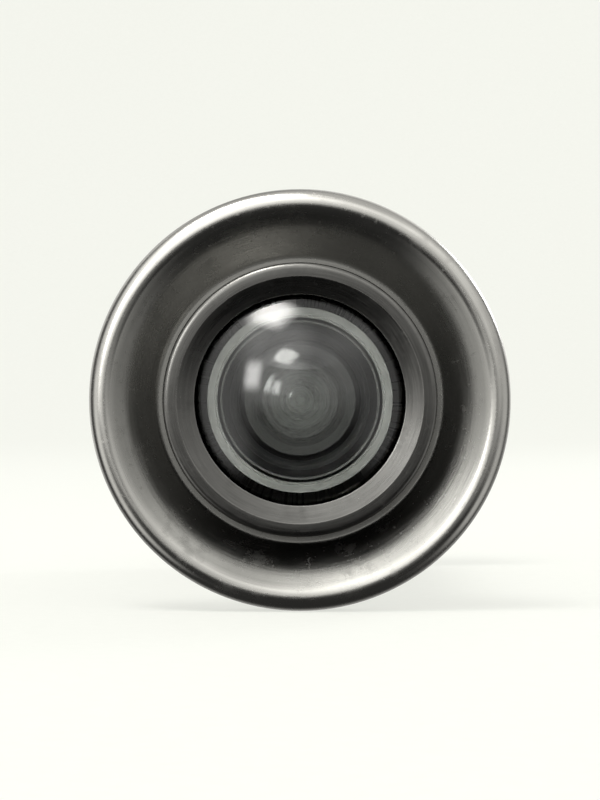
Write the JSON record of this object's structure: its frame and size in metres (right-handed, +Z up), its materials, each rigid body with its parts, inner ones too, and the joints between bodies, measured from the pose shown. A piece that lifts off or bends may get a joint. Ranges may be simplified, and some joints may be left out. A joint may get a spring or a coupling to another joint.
{
  "type": "door viewer",
  "caption": "Wide-angle door viewer: a dished flange and lens barrel outside, an eyepiece that screws into it through a round rosette inside, and a swinging eyepiece cover.",
  "frame": {"origin": "on the viewing axis, in the plane of the door's outside face, where the outside gasket seats", "axes": "+Y along the viewing axis from the street side through the door into the room, +Z up, +X to the right as seen from outside"},
  "size_m": [0.026, 0.0538, 0.026],
  "materials": {
    "nickel_plate": "satin nickel plate on brass",
    "bezel_plate": "black nickel plate on brass",
    "rosette_plate": "satin nickel plate on brass",
    "cover_plate": "satin nickel plate on brass",
    "knob_plate": "polished nickel plate on brass",
    "rivet_metal": "polished steel",
    "spring_steel": "bare spring steel",
    "black_anodised": "black anodised, matt",
    "front_glass": "polished, coated",
    "lens_glass": "polished",
    "rubber": "matt black",
    "nylon": "natural nylon"
  },
  "bodies": {
    "objective": {"objective_barrel": "nickel_plate", "front_bezel": "bezel_plate", "front_lens": "front_glass", "front_lens_seal": "rubber", "front_spacer": "black_anodised", "middle_lens": "lens_glass", "rear_spacer": "black_anodised", "rear_lens": "lens_glass", "outside_gasket": "rubber"},
    "rosette": {"rosette": "rosette_plate", "inside_gasket": "rubber", "cover_pivot_rivet": "rivet_metal", "cover_spring_washer": "spring_steel"},
    "eyepiece": {"eyepiece_barrel": "nickel_plate", "slip_washer": "nylon", "aperture_stop": "black_anodised", "eyepiece_lens": "lens_glass", "eyepiece_lock_ring": "black_anodised"},
    "cover": {"cover_flap": "cover_plate", "cover_seal": "rubber", "cover_knob": "knob_plate"}
  },
  "joints": [
    {"name": "clamp_slide", "type": "slide", "parent": "objective", "child": "rosette", "axis": [0, 1, 0], "range_m": [-0.005, 0.034]},
    {"name": "eyepiece_turn", "type": "hinge", "parent": "rosette", "child": "eyepiece", "pos_m": [0, 0.0425, 0], "axis": [0, 1, 0], "range_deg": [-1801, 12241]},
    {"name": "cover_swing", "type": "hinge", "parent": "rosette", "child": "cover", "pos_m": [0, 0.044, 0.0102], "axis": [0, 1, 0], "continuous": true}
  ],
  "couplings": [
    {"joint": "eyepiece_turn", "follows": "clamp_slide", "rad_per_m": 6283.2}
  ]
}
